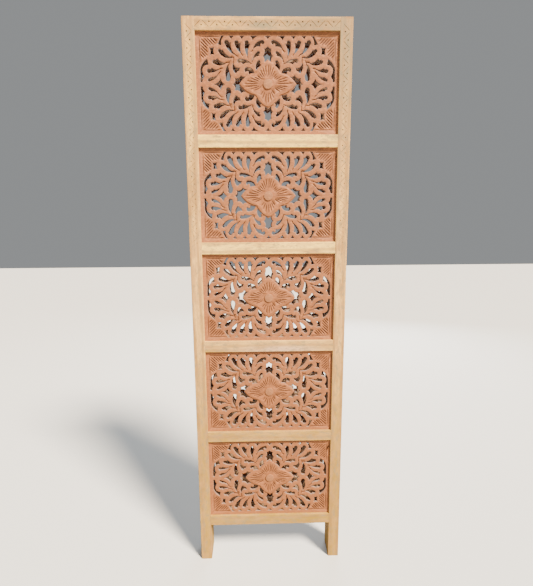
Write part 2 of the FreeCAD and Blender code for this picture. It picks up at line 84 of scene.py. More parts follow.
# Where the two soft panels of light stand, how large they are and what they point at, in metres
FRONT_FROM = (-0.6, -3.2, 1.6)
REAR_FROM = (0.9, 3.2, 1.8)
PANEL_SIZE = 2.4
PANEL_AIM = (0, 0, 0.9)
AIR_COLOUR = (0.95, 0.98, 1.0, 1.0)
FLOOR_SIZE = 9.0
# The camera: focal length in pixels of a picture 586 high, distance before the front leaf, place and turn
FOCAL_PIXELS = 420
PICTURE_HEIGHT = 586
SENSOR_SIZE = 36.0
CAMERA_DISTANCE = 1.3602
CAMERA_LEFT = -0.0406
CAMERA_HEIGHT = 1.2555
CAMERA_TURN = (79.464, 0.329, -1.433)


def linear(red, green, blue):
    """A colour picked as 8-bit screen values, as the renderer's linear ones."""
    return tuple(((c / 255 + 0.055) / 1.055) ** 2.4 if c > 10 else c / 3294.6 for c in (red, green, blue))


# Properties
class FrameSettings(bpy.types.PropertyGroup):
    """The wooden frame of every leaf."""
    straw: bpy.props.FloatVectorProperty(
        name="Straw wood", description="Main colour of the frame's wood",
        subtype="COLOR", size=3, default=(0.43, 0.230, 0.060))
    bleached: bpy.props.FloatVectorProperty(
        name="Bleached wood", description="Colour of the palest streaks",
        subtype="COLOR", size=3, default=(0.77, 0.445, 0.134))
    weathered: bpy.props.FloatVectorProperty(
        name="Weathered wood", description="Colour of the specks and of the greyed patches near the top",
        subtype="COLOR", size=3, default=(0.25, 0.19, 0.10))
    ashen: bpy.props.FloatVectorProperty(
        name="Ashen", description="Pale greyed patches on the rails",
        subtype="COLOR", size=3, default=(0.63, 0.40, 0.255))
    honey: bpy.props.FloatVectorProperty(
        name="Honey wood", description="Colour of the yellower wood near the floor",
        subtype="COLOR", size=3, default=(0.32, 0.183, 0.018))
    rosy: bpy.props.FloatVectorProperty(
        name="Rosy wood", description="Colour of the pinker stretches",
        subtype="COLOR", size=3, default=(0.50, 0.265, 0.10))
    # Painted highlight: paler wood for the upper middle rails, as where they catch more light. The same tone
    # also marks some pale patches on the front leaf.
    pale_and_highlit: bpy.props.FloatVectorProperty(
        name="Sunned wood", description="Colour of the upper middle rails, bleached by the sun",
        subtype="COLOR", size=3, default=(1.0, 0.66, 0.15))
    stain: bpy.props.FloatVectorProperty(
        name="Stain", description="Colour of the brown stains",
        subtype="COLOR", size=3, default=(0.30, 0.15, 0.045))
    eased_edge: bpy.props.FloatProperty(
        name="Eased edge", description="Rounding of the frame's long edges",
        unit="LENGTH", default=1.4 * MM)
    zigzag_pitch: bpy.props.FloatProperty(
        name="Zigzag pitch", description="Length of one full turn of the incised zigzag",
        unit="LENGTH", default=46 * MM)
    zigzag_swing: bpy.props.FloatProperty(
        name="Zigzag swing", description="Reach of the zigzag to each side of the middle line",
        unit="LENGTH", default=11 * MM)
    zigzag_width: bpy.props.FloatProperty(
        name="Zigzag width", description="Width of the incised line",
        unit="LENGTH", default=1.8 * MM)
    dot_radius: bpy.props.FloatProperty(
        name="Dot radius", description="Radius of the punched dots",
        unit="LENGTH", default=2.3 * MM)
    worn_below: bpy.props.FloatProperty(
        name="Worn below", description="Height under which the ornament is worn away",
        unit="LENGTH", default=1120 * MM)
    incised_depth: bpy.props.FloatProperty(
        name="Incised depth", description="Depth of the ornament where it is freshest, at the top",
        unit="LENGTH", default=1.0 * MM)


class InsertSettings(bpy.types.PropertyGroup):
    """The pierced and carved boards."""
    board: bpy.props.FloatVectorProperty(
        name="Board", description="Main colour of the carved boards",
        subtype="COLOR", size=3, default=(0.31, 0.117, 0.044))
    blush: bpy.props.FloatVectorProperty(
        name="Blush", description="Redder patches of the boards",
        subtype="COLOR", size=3, default=(0.24, 0.083, 0.031))
    # Painted shade: the cuts' faces are much darker than the board, for the shade in the grooves, over a
    # little dark stain in the hollows.
    gouge: bpy.props.FloatVectorProperty(
        name="Gouge", description="Colour inside the carved cuts",
        subtype="COLOR", size=3, default=(0.09, 0.032, 0.014))
    boss: bpy.props.FloatVectorProperty(
        name="Boss", description="Paler colour of the worn boss",
        subtype="COLOR", size=3, default=(0.315, 0.132, 0.057))
    sawn: bpy.props.FloatVectorProperty(
        name="Sawn edge", description="Colour of the windows' sawn walls",
        subtype="COLOR", size=3, default=(0.25, 0.165, 0.135))
    back: bpy.props.FloatVectorProperty(
        name="Raw back", description="Colour of the boards' unstained backs",
        subtype="COLOR", size=3, default=(0.47, 0.30, 0.185))
    window_round: bpy.props.FloatProperty(
        name="Window rounding", description="Rounding of the windows' rims",
        unit="LENGTH", default=1.9 * MM)
    back_round: bpy.props.FloatProperty(
        name="Back rounding", description="Easing of the windows' rims at the back",
        unit="LENGTH", default=4 * MM)
    petal_round: bpy.props.FloatProperty(
        name="Petal rounding", description="Rounding of the petals' rims",
        unit="LENGTH", default=1.3 * MM)
    boss_round: bpy.props.FloatProperty(
        name="Boss rounding", description="Rounding of the boss's rim",
        unit="LENGTH", default=1.1 * MM)
    petal_rise: bpy.props.FloatProperty(
        name="Petal rise", description="Height of the petals over the board",
        unit="LENGTH", default=2 * MM)
    boss_rise: bpy.props.FloatProperty(
        name="Boss rise", description="Height of the boss over the board",
        unit="LENGTH", default=5 * MM)
    cut_depth: bpy.props.FloatProperty(
        name="Cut depth", description="Depth of the deepest carved cuts",
        unit="LENGTH", default=2.8 * MM)


class HingeSettings(bpy.types.PropertyGroup):
    """Hinges, screws and pegs."""
    brass: bpy.props.FloatVectorProperty(
        name="Brass", description="Colour of the hinge sheet",
        subtype="COLOR", size=3, default=linear(186, 152, 92))
    steel: bpy.props.FloatVectorProperty(
        name="Steel", description="Colour of the pins and screws",
        subtype="COLOR", size=3, default=linear(176, 168, 154))
    peg: bpy.props.FloatVectorProperty(
        name="Peg", description="Colour of the pegs' end grain",
        subtype="COLOR", size=3, default=linear(184, 146, 104))


class StageSettings(bpy.types.PropertyGroup):
    """Floor, light and camera."""
    floor: bpy.props.FloatVectorProperty(
        name="Floor", description="Colour of the floor",
        subtype="COLOR", size=3, default=(0.62, 0.615, 0.60))
    key_strength: bpy.props.FloatProperty(
        name="Key light", description="Strength of the warm light from the upper right",
        default=17.6)
    key_colour: bpy.props.FloatVectorProperty(
        name="Key colour", description="Colour of the warm light",
        subtype="COLOR", size=3, default=(1.0, 0.87, 0.70))
    floor_bounce: bpy.props.FloatProperty(
        name="Floor bounce", description="Share of the floor's brightness that lights the screen from below",
        subtype="FACTOR", default=0.46)
    front_strength: bpy.props.FloatProperty(
        name="Front fill", description="Strength of the soft panel of light in front",
        unit="POWER", default=30.0)
    fill_colour: bpy.props.FloatVectorProperty(
        name="Fill colour", description="Colour of the soft panels of light",
        subtype="COLOR", size=3, default=(0.87, 0.94, 1.0))
    rear_strength: bpy.props.FloatProperty(
        name="Rear fill", description="Strength of the soft panel of light behind",
        unit="POWER", default=150.0)
    fill_strength: bpy.props.FloatProperty(
        name="Fill", description="Strength of the even light from all round",
        default=0.30)
    backdrop_strength: bpy.props.FloatProperty(
        name="Backdrop", description="Brightness of the backdrop behind the screen",
        default=0.30)


# Node helpers
class Nodes:
    """Short calls for building one node tree."""

    def __init__(self, tree):
        self.tree = tree

    def feed(self, node, values):
        """Links or sets a node's inputs by name or number."""
        for name, value in values.items():
            socket = node.inputs[name]
            if isinstance(value, bpy.types.NodeSocket):
                self.tree.links.new(value, socket)
            else:
                socket.default_value = value

    def add(self, kind, inputs=None, **settings):
        """Adds a node, sets its attributes and feeds its inputs."""
        node = self.tree.nodes.new(f"ShaderNode{kind}")
        for name, value in settings.items():
            setattr(node, name, value)
        self.feed(node, inputs or {})
        return node

    def place(self):
        """Where a point lies on the object."""
        return self.add("TexCoord").outputs["Object"]

    def math(self, operation, first, second):
        """One Math node's value."""
        return self.add("Math", {0: first, 1: second}, operation=operation).outputs[0]

    def left_of(self, value):
        """What a value leaves of one."""
        return self.math("SUBTRACT", 1.0, value)

    def ramp(self, value, gain, start):
        """A start plus a value times a gain."""
        return self.math("ADD", self.math("MULTIPLY", value, gain), start)

    def mix(self, factor, first, second):
        """A colour between two, by a factor."""
        ends = [end if isinstance(end, bpy.types.NodeSocket) else (*end, 1.0) for end in (first, second)]
        return self.add("Mix", {0: factor, 6: ends[0], 7: ends[1]}, data_type="RGBA").outputs[2]

    def tinge(self, colour, mask, share, tone):
        """A colour turned towards a tone by a share of a mask."""
        return self.mix(self.math("MULTIPLY", mask, share), colour, tone)

    def span(self, value, low, high):
        """How far a value has gone from low to high, smoothly, from 0 to 1."""
        return self.add("MapRange", {"Value": value, "From Min": low, "From Max": high},
                        interpolation_type="SMOOTHSTEP").outputs["Result"]

    def noise(self, vector, scale, detail, rough):
        """A noise value over stretched coordinates."""
        mapped = self.add("Mapping", {"Vector": vector, "Scale": scale}).outputs[0]
        return self.add("TexNoise", {"Vector": mapped, "Scale": 1.0, "Detail": detail,
                                     "Roughness": rough}).outputs["Fac"]

    def blotches(self, vector, pattern):
        """A mask of soft blotches in a pattern."""
        scale, detail, rough, low, high = pattern
        return self.span(self.noise(vector, scale, detail, rough), low, high)

    def smudge(self, place, centre, size):
        """A soft spot: 1 about a centre, falling to 0 at its size along each axis."""
        offset = self.add("VectorMath", {0: place, 1: centre}, operation="SUBTRACT").outputs[0]
        share = self.add("VectorMath", {0: offset, 1: size}, operation="DIVIDE").outputs[0]
        length = self.add("VectorMath", {0: share}, operation="LENGTH").outputs["Value"]
        return self.left_of(self.span(length, 0.2, 1.0))

    def bump(self, height, strength, distance):
        """A normal roughened by a height."""
        return self.add("Bump", {"Height": height, "Strength": strength, "Distance": distance}).outputs[0]


def principled(name):
    """A new material; gives the material, its helper and its Principled shader."""
    material = bpy.data.materials.new(name)
    material.use_nodes = True
    tree = material.node_tree
    return material, Nodes(tree), tree.nodes["Principled BSDF"]


# Finishes. A pattern is a noise's scale, along the grain first, its detail, its roughness and where it fades.
STREAKS = ((2.2, 75.0, 75.0), 5.0, 0.6, 0.36, 0.68)
PORES = ((70.0, 900.0, 900.0), 2.0, 0.5, 0.60, 0.74)
PATCHES = ((1.6, 9.0, 9.0), 3.0, 0.5, 0.40, 0.66)
STAINS = ((9.0, 45.0, 45.0), 4.0, 0.6, 0.50, 0.72)
MOTTLE = ((30.0, 70.0, 70.0), 3.0, 0.6, 0.38, 0.64)
DRIFT = ((2.6, 16.0, 16.0), 3.0, 0.5, 0.40, 0.62)
GLINTS = ((16.0, 60.0, 60.0), 4.0, 0.65, 0.47, 0.62)
SPECKS = ((45.0, 110.0, 110.0), 4.0, 0.7, 0.50, 0.64)
FLECKS = ((70.0, 200.0, 260.0), 4.0, 0.65, 0.50, 0.68)
BRIGHT_FLECKS = ((110.0, 160.0, 160.0), 3.0, 0.6, 0.50, 0.66)
TARNISH = ((90.0, 90.0, 60.0), 5.0, 0.6, 0.38, 0.68)
RINGS = ((300.0, 300.0, 300.0), 4.0, 0.6, 0.38, 0.66)
# Noises that don't fade: scale, detail and roughness
FUZZ = ((420.0, 420.0, 420.0), 3.0, 0.6)
SCRATCHES = ((1500.0, 1500.0, 90.0), 2.0, 0.5)
FLOOR_MOTTLE = ((1.5, 1.5, 1.5), 3.0, 0.5)
# How far the grain wanders, and the stretch and shape of its wavy figure
WANDER_SCALE = 3.0
WANDER_REACH = 0.03
FIGURE_STRETCH = (1.1, 10.0, 10.0)
FIGURE = {"Scale": 1.2, "Distortion": 7.0, "Detail": 3.0, "Detail Scale": 0.8}
FIGURE_FADE = (0.55, 0.95)
# Heights, and one place across, between which the frame's tones come and go, in metres
# Between the first two heights the rails grow paler as a painted highlight, and it fades out again between
# the next two.
HIGHLIGHT_FROM = (0.70, 1.15)
HIGHLIGHT_TO = (1.52, 1.75)
GREYED_FROM = (1.38, 1.80)
GREYED_ACROSS = (-0.10, 0.20)
YELLOWED_TO = (0.28, 0.98)
BOARD_DEEPENED_TO = (0.2, 1.5)
# How much a board is deepened near the floor, by red, green and blue
DEEPENING = (0.82, 0.78, 0.66)
DULL = 0.25
TONES = ("straw", "bleached", "weathered", "ashen", "honey", "rosy", "pale_and_highlit", "stain")
# Marks on the front leaf: centre and half size in millimetres, tone and strength
SMUDGES = (
    ((-20, 1806), (60, 22), "weathered", 0.9),
    ((135, 1806), (120, 26), "weathered", 0.9),
    ((-150, 1806), (90, 26), "pale_and_highlit", 0.2),
    ((-235, 1560), (32, 240), "pale_and_highlit", 0.3),
    ((30, 806), (210, 26), "ashen", 0.75),
    ((235, 250), (32, 330), "stain", 0.2),
    ((-90, 160), (140, 26), "weathered", 0.25),
    ((-207, 1812), (13, 32), "stain", 0.6),
    ((245, 1829), (24, 9), "stain", 0.9),
    ((173, 1793), (20, 12), "stain", 0.6),
    ((215, 1492), (34, 16), "weathered", 0.6),
    ((225, 1150), (40, 16), "stain", 0.4),
    ((-190, 806), (60, 12), "honey", 0.7),
    ((-150, 485), (90, 26), "honey", 0.6),
    ((110, 160), (150, 24), "honey", 0.9),
    ((140, 1806), (140, 34), "stain", 0.25),
    ((60, 1477), (190, 30), "pale_and_highlit", 0.5),
)
SMUDGE_DEPTH = 30 * MM


def scaled(colour, share):
    """A colour made darker or brighter by a share."""
    return [c * share for c in colour]


def grain_group():
    """Mango grain along the vector's x axis: masks of its streaks, pores and patches, and its height."""
    name = "mango_grain"
    if name in bpy.data.node_groups:
        return bpy.data.node_groups[name]
    tree = bpy.data.node_groups.new(name, "ShaderNodeTree")
    tree.interface.new_socket("Vector", in_out="INPUT", socket_type="NodeSocketVector")
    for label in ("Streaks", "Pores", "Patches", "Height"):
        tree.interface.new_socket(label, in_out="OUTPUT", socket_type="NodeSocketFloat")
    n = Nodes(tree)
    at = tree.nodes.new("NodeGroupInput").outputs["Vector"]
    wander = n.add("TexNoise", {"Vector": at, "Scale": WANDER_SCALE, "Detail": 2.0}).outputs["Color"]
    sway = n.add("VectorMath", {0: wander, "Scale": WANDER_REACH}, operation="SCALE").outputs[0]
    bent = n.add("VectorMath", {0: at, 1: sway}, operation="ADD").outputs[0]
    streaks = n.blotches(bent, STREAKS)
    pores = n.blotches(at, PORES)
    height = n.math("SUBTRACT", n.math("MULTIPLY", streaks, 0.35), pores)
    n.feed(tree.nodes.new("NodeGroupOutput"), {"Streaks": streaks, "Pores": pores,
                                               "Patches": n.blotches(at, PATCHES), "Height": height})
    return tree


def frame_wood(name, settings, upright, shade):
    """Straw-coloured mango wood, grain along the member: greyed at the top right, yellower near the floor,
    and painted paler on the upper middle rails as a highlight.
    """
    material, n, shader = principled(name)
    place = n.place()
    x, y, z = n.add("SeparateXYZ", {0: place}).outputs
    along, across = (z, x) if upright else (x, z)
    grain_at = n.add("CombineXYZ", {0: along, 1: across, 2: y}).outputs[0]
    grain = n.add("Group", {"Vector": grain_at}, node_tree=grain_group()).outputs
    tones = {key: scaled(getattr(settings, key), shade) for key in TONES}
    stains = n.blotches(grain_at, STAINS)
    figure_at = n.add("Mapping", {"Vector": grain_at, "Scale": FIGURE_STRETCH}).outputs[0]
    figure = n.add("TexWave", {"Vector": figure_at, **FIGURE}, bands_direction="Y").outputs["Fac"]
    colour = n.mix(grain["Streaks"], tones["straw"], tones["bleached"])
    colour = n.tinge(colour, n.blotches(grain_at, DRIFT), 0.55, tones["rosy"])
    colour = n.tinge(colour, n.blotches(grain_at, GLINTS), 0.9, tones["bleached"])
    if not upright:
        # Painted highlight: the upper middle rails are made paler, as where they catch more light.
        painted_highlight = n.math("MULTIPLY", n.span(z, *HIGHLIGHT_FROM), n.left_of(n.span(z, *HIGHLIGHT_TO)))
        colour = n.mix(n.math("MULTIPLY", painted_highlight, n.ramp(stains, -0.5, 0.95)), colour, tones["pale_and_highlit"])
    greying = n.math("MULTIPLY", n.span(z, *GREYED_FROM), n.span(x, *GREYED_ACROSS))
    greying = n.math("MULTIPLY", greying, n.ramp(grain["Patches"], 0.4, 0.6))
    colour = n.mix(greying, colour, tones["weathered"])
    low = n.left_of(n.span(z, *YELLOWED_TO))
    yellowing = n.math("MULTIPLY", low, n.ramp(grain["Patches"], 0.2, 0.8))
    colour = n.mix(yellowing, colour, tones["honey"])
    for (right, up), (wide, high), tone, strength in SMUDGES:
        reach = n.smudge(place, (right * MM, CAD_BOX[0].y, up * MM), (wide * MM, SMUDGE_DEPTH, high * MM))
        share = n.ramp(stains, -0.3 * strength, strength)
        colour = n.mix(n.math("MULTIPLY", reach, share), colour, tones[tone])
    colour = n.tinge(colour, stains, 0.55, tones["stain"])
    colour = n.tinge(colour, n.span(figure, *FIGURE_FADE), 0.5, tones["stain"])
    colour = n.tinge(colour, n.blotches(grain_at, MOTTLE), 0.36, tones["rosy"])
    colour = n.tinge(colour, n.blotches(grain_at, SPECKS), 0.6, tones["weathered"])
    colour = n.tinge(colour, grain["Pores"], 0.5, scaled(tones["straw"], 0.5))
    n.feed(shader, {"Base Color": colour, "Normal": n.bump(grain["Height"], 0.3, 0.5 * MM),
                    "Roughness": n.ramp(grain["Streaks"], 0.12, 0.55), "Specular IOR Level": DULL})
    return material


def board_wood(name, base, darker, fleck=1.0):
    """Carved board: fine level grain, darker patches, dark and bright flecks, and a dull surface."""
    material, n, shader = principled(name)
    place = n.place()
    grain = n.add("Group", {"Vector": place}, node_tree=grain_group()).outputs
    fuzz = n.noise(place, *FUZZ)
    low = n.left_of(n.span(n.add("SeparateXYZ", {0: place}).outputs["Z"], *BOARD_DEEPENED_TO))
    colour = n.tinge(base, grain["Streaks"], 0.35, darker)
    colour = n.tinge(colour, grain["Patches"], 0.5, darker)
    colour = n.tinge(colour, n.blotches(place, FLECKS), 0.45 * fleck, scaled(base, 0.5))
    colour = n.tinge(colour, n.blotches(place, BRIGHT_FLECKS), 0.3 * fleck, scaled(base, 2.0))
    colour = n.tinge(colour, low, 0.5, [c * share for c, share in zip(base, DEEPENING)])
    colour = n.tinge(colour, grain["Pores"], 0.22, scaled(base, 0.5))
    height = n.ramp(fuzz, 0.6, grain["Height"])
    n.feed(shader, {"Base Color": colour, "Normal": n.bump(height, 0.25, 0.4 * MM),
                    "Roughness": n.ramp(fuzz, 0.2, 0.55), "Specular IOR Level": DULL})
    return material


def metal(name, colour, rough):
    """Dull sheet or turned metal with tarnish and fine scratches."""
    material, n, shader = principled(name)
    place = n.place()
    tarnish = n.blotches(place, TARNISH)
    n.feed(shader, {"Base Color": n.tinge(colour, tarnish, 0.7, scaled(colour, 0.42)),
                    "Normal": n.bump(n.noise(place, *SCRATCHES), 0.2, 0.05 * MM),
                    "Roughness": n.ramp(tarnish, 0.25, rough), "Metallic": 1.0})
    return material


def end_grain(name, colour):
    """Cut ends of wooden pegs, with growth rings seen end on."""
    material, n, shader = principled(name)
    rings = n.blotches(n.place(), RINGS)
    n.feed(shader, {"Base Color": n.mix(rings, colour, scaled(colour, 0.6)),
                    "Normal": n.bump(rings, 0.3, 0.2 * MM), "Roughness": 0.7})
    return material


# Mesh helpers. Seams of a CAD mesh are closed within the first measure, faces joined within the angle.
SEAM = 0.001 * MM
FLAT = math.radians(0.5)
# Places in a piece's list of materials: cuts in any piece, dots in the frame, and the faces of a board
CUT = 1
DOT = 2
BOARD, SAWN, RAW_BACK, WORN_BOSS = 0, 2, 3, 4


def add_to_scene(name, data):
    """An object of the scene with some data."""
    made = bpy.data.objects.new(name, data)
    bpy.context.scene.collection.objects.link(made)
    return made


def copy_of_node(node):
    """A bmesh of a CAD node's mesh with its seams closed and its flat faces joined up."""
    bm = bmesh.new()
    bm.from_mesh(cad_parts[node].data)
    bmesh.ops.remove_doubles(bm, verts=bm.verts, dist=SEAM)
    bmesh.ops.dissolve_limit(bm, angle_limit=FLAT, verts=bm.verts, edges=bm.edges)
    return bm


def to_object(bm, name, materials):
    """Makes a finished bmesh an object of the scene."""
    mesh = bpy.data.meshes.new(name)
    bm.to_mesh(mesh)
    bm.free()
    for material in materials:
        mesh.materials.append(material)
    return add_to_scene(name, mesh)


def dress(piece, leaf, node):
    """Lets a piece stand for a CAD node of a leaf."""
    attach(piece, f"{leaf}_leaf")
    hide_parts(node)


def round_edges(bm, edges, offset, segments=2):
    """Rounds some edges of a bmesh."""
    bmesh.ops.bevel(bm, geom=edges, offset=offset, offset_type="OFFSET", segments=segments, profile=0.5,
                    affect="EDGES", clamp_overlap=False, material=-1)


def mark_faces(vertices, material):
    """Gives the faces at some vertices a material by its place in the list."""
    for face in {f for v in vertices for f in v.link_faces}:
        face.material_index = material


def add_cut(bm, start, end, level, width, depth):
    """A V-shaped gouge cut with pointed ends, as a four-sided spindle lying in an upright face at a level."""
    a, b = Vector((start[0], level, start[1])), Vector((end[0], level, end[1]))
    run = b - a
    made = bmesh.ops.create_uvsphere(bm, u_segments=4, v_segments=4, radius=1.0)["verts"]
    bmesh.ops.scale(bm, vec=(width / 2, depth, run.length / 2), verts=made)
    turn = Matrix.Rotation(math.atan2(run.x, run.z), 4, "Y")
    bmesh.ops.transform(bm, matrix=Matrix.Translation((a + b) / 2) @ turn, verts=made)
    mark_faces(made, CUT)


def add_dot(bm, at, level, radius, depth):
    """A round punch mark in an upright face at a level."""
    made = bmesh.ops.create_uvsphere(bm, u_segments=8, v_segments=4, radius=1.0)["verts"]
    bmesh.ops.scale(bm, vec=(radius, depth, radius), verts=made)
    bmesh.ops.translate(bm, vec=(at[0], level, at[1]), verts=made)
    mark_faces(made, DOT)


def cut_away(piece, tool_bm):
    """Cuts a bmesh of tools out of a piece; what they bare takes the tools' materials."""
    bmesh.ops.recalc_face_normals(tool_bm, faces=tool_bm.faces)
    tool = to_object(tool_bm, "cutting_tools", piece.data.materials)
    cut = piece.modifiers.new("cut", "BOOLEAN")
    cut.operation = "DIFFERENCE"
    cut.solver = "MANIFOLD"
    cut.object = tool
    done = bpy.data.meshes.new_from_object(piece.evaluated_get(bpy.context.evaluated_depsgraph_get()))
    piece.modifiers.clear()
    piece.data = done
    bpy.data.objects.remove(tool)


# Frame members. The zigzag is dropped where less than this share of it is left by wear.
WORN_AWAY = 0.05
# What wear leaves at least of the depth and width of the lines and of the size of the dots
LEAST_DEPTH = 0.35
LEAST_WIDTH = 0.5
LEAST_DOT = 0.6
# Each line of the zigzag stops short of its corners, and each dot sits beside the middle line.
LINE_START = 0.04
LINE_END = 0.96
LINE_SWING = 0.92
DOT_SWING = 0.4
SHORTEST_EASED = 5 * MM
# Shades of the frame's wood, of its incised lines and of its dots
FRAME_SHADES = {"wood": 1.0, "incised": 0.5, "punched": 0.12}


def worn(left, least):
    """The share of a measure that wear leaves, never under a least share."""
    return least + (1 - least) * left


def zigzag_tools(low, high, along, level, settings):
    """The zigzag line and its dots down the middle of a member's carved face."""
    bm = bmesh.new()
    across = 2 - along
    middle = (low[across] + high[across]) / 2
    half = settings.zigzag_pitch / 2
    swing = settings.zigzag_swing
    count = int((high[along] - low[along] - half) / half)
    first = (low[along] + high[along] - count * half) / 2

    def spot(step, side):
        at = [first + step * half, middle + side * swing]
        return at if along == ALONG_X else at[::-1]

    for step in range(count):
        height = spot(step, 0)[1]
        left = (height - settings.worn_below) / (CAD_BOX[1].z - settings.worn_below)
        if left < WORN_AWAY:
            continue
        side = 1 if step % 2 else -1
        depth = settings.incised_depth * worn(left, LEAST_DEPTH)
        width = settings.zigzag_width * worn(left, LEAST_WIDTH)
        start = spot(step + LINE_START, LINE_SWING * side)
        end = spot(step + LINE_END, -LINE_SWING * side)
        add_cut(bm, start, end, level, width, depth)
        radius = settings.dot_radius * worn(left, LEAST_DOT)
        add_dot(bm, spot(step, -DOT_SWING * side), level, radius, depth)
    return bm


def eased_member(node, along, settings, materials, carved_side):
    """A stile or rail with eased long edges. Stiles and top rails have the zigzag in their carved side."""
    bm = copy_of_node(node)
    low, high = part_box(node)
    others = [axis for axis in range(3) if axis != along]

    def on_side(vertex, axis):
        return min(abs(vertex.co[axis] - low[axis]), abs(vertex.co[axis] - high[axis])) < TOUCH

    long_edges = [e for e in bm.edges
                  if all(on_side(v, axis) for v in e.verts for axis in others)
                  and abs(e.verts[0].co[along] - e.verts[1].co[along]) > SHORTEST_EASED]
    round_edges(bm, long_edges, settings.eased_edge)
    piece = to_object(bm, f"eased_{node}", materials)
    if "stile" in node or "top_rail" in node:
        level = low.y if carved_side < 0 else high.y
        cut_away(piece, zigzag_tools(low, high, along, level, settings))
    return piece


class SCREEN_OT_frame_members(bpy.types.Operator):
    """Replaces every stile and rail by one with eased edges and the incised ornament"""
    bl_idname = "screen.frame_members"
    bl_label = "Frame members"

    def execute(self, context):
        settings = context.scene.screen_frame
        shades = FRAME_SHADES.items()
        upright = [frame_wood(f"stile_{name}", settings, True, shade) for name, shade in shades]
        level = [frame_wood(f"rail_{name}", settings, False, shade) for name, shade in shades]
        for leaf in LEAVES:
            members = [(f"{leaf}_{side}_stile", ALONG_Z, upright) for side in ("left", "right")]
            members += [(f"{leaf}_{rail}", ALONG_X, level) for rail in RAILS]
            for node, along, materials in members:
                piece = eased_member(node, along, settings, materials, CARVED_SIDE[leaf])
                dress(piece, leaf, node)
        return {"FINISHED"}


# Carved inserts. Cuts are given in millimetres from the flower's centre, for the upper right quarter.
# The veins of each petal, uneven as if cut by hand: turn from its middle, and how far out they start and end
PETAL_VEINS = {
    0: ((2, 22, 80), (10, 24, 62), (18, 28, 66), (28, 24, 50), (38, 22, 38), (-8, 34, 66), (-14, 30, 57),
        (-21, 27, 50), (-30, 24, 44)),
    90: ((-2, 20, 57), (9, 27, 54), (19, 24, 51), (30, 22, 46), (41, 24, 41), (-10, 24, 55), (-20, 22, 52),
         (-30, 24, 45), (-42, 25, 38)),
    180: ((-1, 24, 74), (-8, 30, 66), (-17, 26, 56), (-26, 24, 47), (-36, 24, 40), (7, 27, 70), (15, 25, 55),
          (24, 24, 46)),
    270: ((1, 24, 55), (12, 23, 50), (24, 22, 44), (34, 20, 36), (-11, 26, 51), (-23, 23, 45), (-36, 24, 38)),
}
CORNER_CUTS = (
    ((200, 128), (176, 104)), ((191, 129), (170, 108)), ((182, 129), (162, 109)), ((173, 129), (156, 112)),
    ((163, 129), (152, 118)), ((201, 119), (179, 97)), ((201, 110), (178, 87)), ((201, 101), (179, 79)),
    ((201, 92), (185, 76)), ((201, 83), (191, 73)),
)
BORDER_CUTS = (((203.5, 130.5), (203.5, 62)), ((202.5, 131.5), (139, 131.5)))
# Cuts that run on from the tails of the leaf-shaped windows
TAIL_CUTS = (
    ((61, 86), (59.5, 71)), ((83, 92), (74.5, 78)), ((102, 87), (91, 77)), ((115, 77), (101, 74)),
    ((133, 59), (115, 61.5)), ((153, 41), (133, 45.5)), ((154, 25), (140, 38)), ((40, 103), (50, 89)),
    ((59, 62), (46, 57)), ((44, 71), (49, 60)),
)
STEM_CUTS = (((104, 50), (102.5, 79)), ((120.5, 48), (112, 69)))
# Width of each kind of cut in millimetres, and its share of the full depth
VEIN = (2.3, 0.75)
CORNER = (3.4, 1.0)
TAIL = (2.8, 0.9)
BORDER = (2.6, 0.5)
STEM = (2.6, 0.5)
# How a normal leans on fronts, sides, sawn walls, the boss and smoothed faces, and the sharpest smooth edge
FRONT_FACING = -0.99
SIDE_FACING = 0.1
WALL_LEAN = (-0.8, 0.5)
BOSS_LEAN = -0.3
SMOOTHED_FROM = 0.9995
SHARP = math.radians(32)
# The boss is what stands this far out over the petals.
BOSS_STEP = 0.5 * MM
# Rounded rims: how closely a rim is followed, how the room behind it is felt out, and where the rows lie
RIM_STEP = 0.3 * MM
ROW_STEP = 2.0 * MM
FEEL_STEP = 0.1 * MM
FEEL_SLACK = 0.04 * MM
WIDE_REACH = 0.8 * MM
WIDE_ROWS = (0.22, 0.55, 1.0)
NARROW_ROWS = (0.5, 1.0)
ROW_GAP = 0.24
# The face is laid anew with triangles inside its border only, and points nearer than this are one.
CDT_INSIDE = 1
CDT_NEAR = 1e-7


def mirrored(cuts):
    """Cuts of one quarter, mirrored to all four."""
    sides = [(sx, sy) for sx in (1, -1) for sy in (1, -1)]
    return [((sx * a[0], sy * a[1]), (sx * b[0], sy * b[1])) for a, b in cuts for sx, sy in sides]


def petal_veins():
    """The veins that run out along each petal from the boss."""
    veins = []
    for turn, fan in PETAL_VEINS.items():
        for angle, start, reach in fan:
            a = math.radians(turn + angle)
            out = Vector((math.cos(a), math.sin(a)))
            veins.append((out * start, out * reach))
    return veins


def front_edges(bm, level, half):
    """Outer edges between the carved side at a level and a wall, each with the way its wall faces."""
    found = []
    for edge in bm.edges:
        walls = [f for f in edge.link_faces if abs(f.normal.y) < SIDE_FACING]
        fronts = [f for f in edge.link_faces if f.normal.y < FRONT_FACING]
        inside = all(abs(v.co.x) < half.x - MM and abs(v.co.z) < half.z - MM for v in edge.verts)
        at_level = all(abs(v.co.y - level) < TOUCH for v in edge.verts)
        if len(walls) == len(fronts) == 1 and inside and at_level and edge.is_convex:
            found.append((edge, walls[0].normal.copy()))
    return found


def along_edge(edge, step):
    """Points along an edge from end to end, no further apart than a step."""
    a, b = edge.verts[0].co, edge.verts[1].co
    count = max(1, math.ceil((b - a).length / step))
    return [a.lerp(b, k / count) for k in range(count + 1)]


def tree_of(points):
    """A search tree over some points."""
    tree = KDTree(len(points))
    for index, point in enumerate(points):
        tree.insert(point, index)
    tree.balance()
    return tree


def thinned(points, gap):
    """The points with those that lie closer than a gap merged."""
    bm = bmesh.new()
    for point in points:
        bm.verts.new(point)
    bmesh.ops.remove_doubles(bm, verts=bm.verts, dist=gap)
    kept = [v.co.copy() for v in bm.verts]
    bm.free()
    return kept


